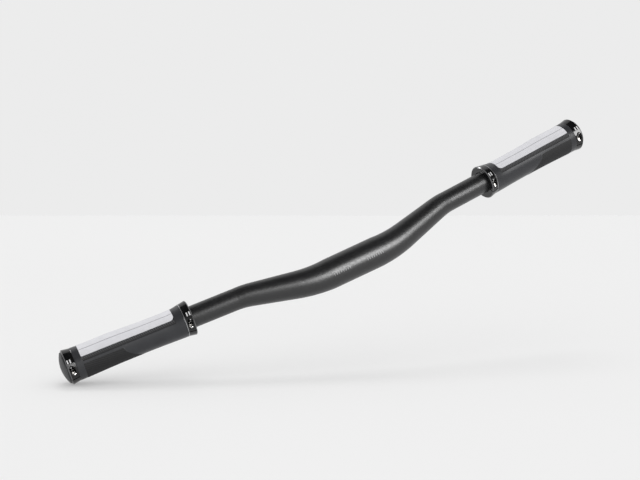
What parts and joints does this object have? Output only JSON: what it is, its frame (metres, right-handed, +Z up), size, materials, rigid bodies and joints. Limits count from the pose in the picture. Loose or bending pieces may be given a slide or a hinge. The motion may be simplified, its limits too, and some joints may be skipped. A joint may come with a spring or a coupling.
{
  "type": "comfort handlebar",
  "caption": "Low-rise bicycle handlebar with a thick tapered middle, swept-back ends, padded clamp-on grips and domed end plugs.",
  "frame": {"origin": "middle of the stem clamp zone, on the tube's axis", "axes": "+X along the bar to the rider's left hand, +Y back towards the rider, +Z up"},
  "size_m": [0.6214, 0.0666, 0.0546],
  "materials": {
    "bar": "satin bead-blasted black anodised",
    "core": "moulded",
    "rubber": "matt, fine texture",
    "pad": "soft satin",
    "ring": "gloss black anodised",
    "bolt": "bright plated",
    "plug": "satin moulded"
  },
  "bodies": {
    "root": {"handlebar": "bar", "grip_core_left": "core", "grip_rubber_left": "rubber", "grip_pad_left": "pad", "clamp_ring_inboard_left": "ring", "clamp_ring_outboard_left": "ring", "clamp_bolt_inboard_left": "bolt", "clamp_bolt_outboard_left": "bolt", "end_plug_left": "plug", "grip_core_right": "core", "grip_rubber_right": "rubber", "grip_pad_right": "pad", "clamp_ring_inboard_right": "ring", "clamp_ring_outboard_right": "ring", "clamp_bolt_inboard_right": "bolt", "clamp_bolt_outboard_right": "bolt", "end_plug_right": "plug"}
  },
  "joints": []
}
